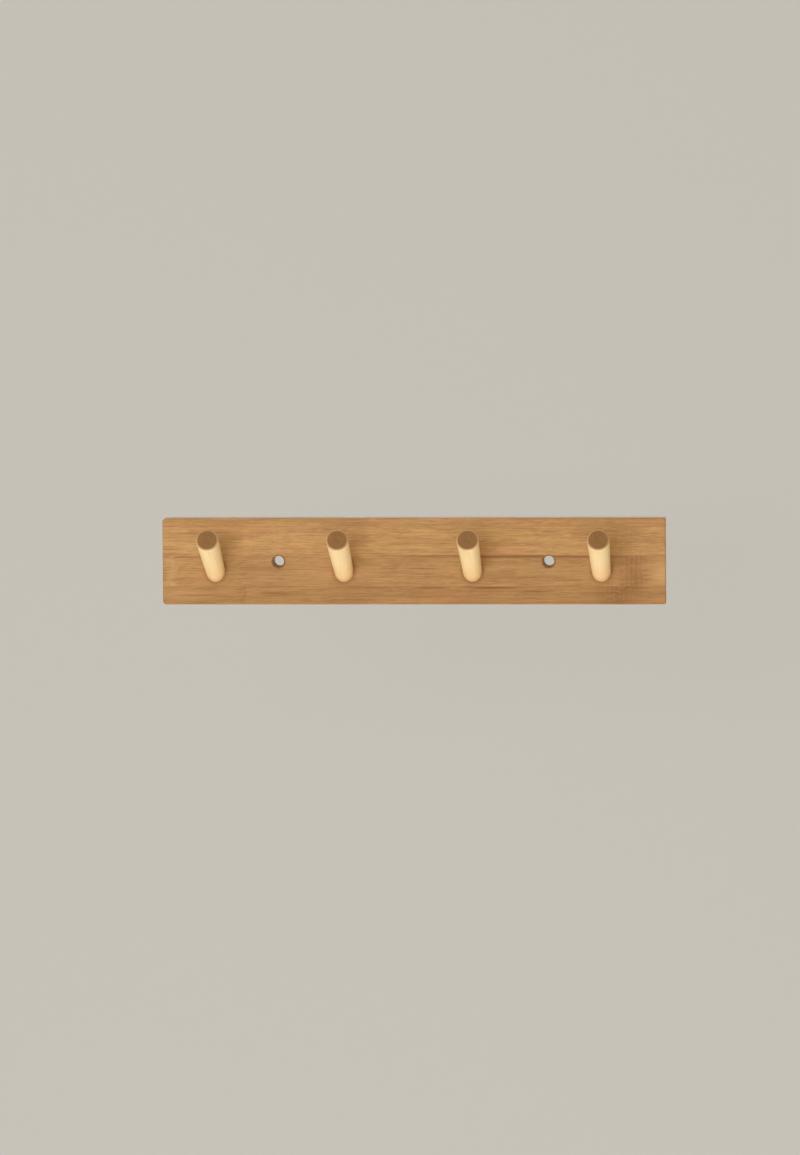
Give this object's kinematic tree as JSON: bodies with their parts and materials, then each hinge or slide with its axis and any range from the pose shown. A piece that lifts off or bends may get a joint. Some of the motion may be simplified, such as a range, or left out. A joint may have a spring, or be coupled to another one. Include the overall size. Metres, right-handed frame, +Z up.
{
  "type": "wall peg rack",
  "caption": "Long laminated bamboo board with tapered round coat pegs that slope upwards and countersunk through holes for wall screws.",
  "frame": {"origin": "centre of the board's back face, on the wall", "axes": "+X along the board towards its right end as seen from the front, +Y into the wall, +Z up"},
  "size_m": [0.35, 0.0753, 0.06],
  "materials": {
    "bamboo_face": "carbonised bamboo, planed, satin clear lacquer",
    "bamboo_core": "carbonised bamboo, sanded edge, satin clear lacquer",
    "bamboo_back": "carbonised bamboo, planed, thin clear lacquer",
    "peg_wood": "natural bamboo, turned and sanded, satin clear lacquer"
  },
  "bodies": {
    "root": {"front_strip_1": "bamboo_face", "front_strip_2": "bamboo_face", "front_strip_3": "bamboo_face", "front_strip_4": "bamboo_face", "core_strip_1": "bamboo_core", "core_strip_2": "bamboo_core", "core_strip_3": "bamboo_core", "back_strip_1": "bamboo_back", "back_strip_2": "bamboo_back", "back_strip_3": "bamboo_back", "back_strip_4": "bamboo_back", "peg_1": "peg_wood", "peg_2": "peg_wood", "peg_3": "peg_wood", "peg_4": "peg_wood"}
  },
  "joints": []
}
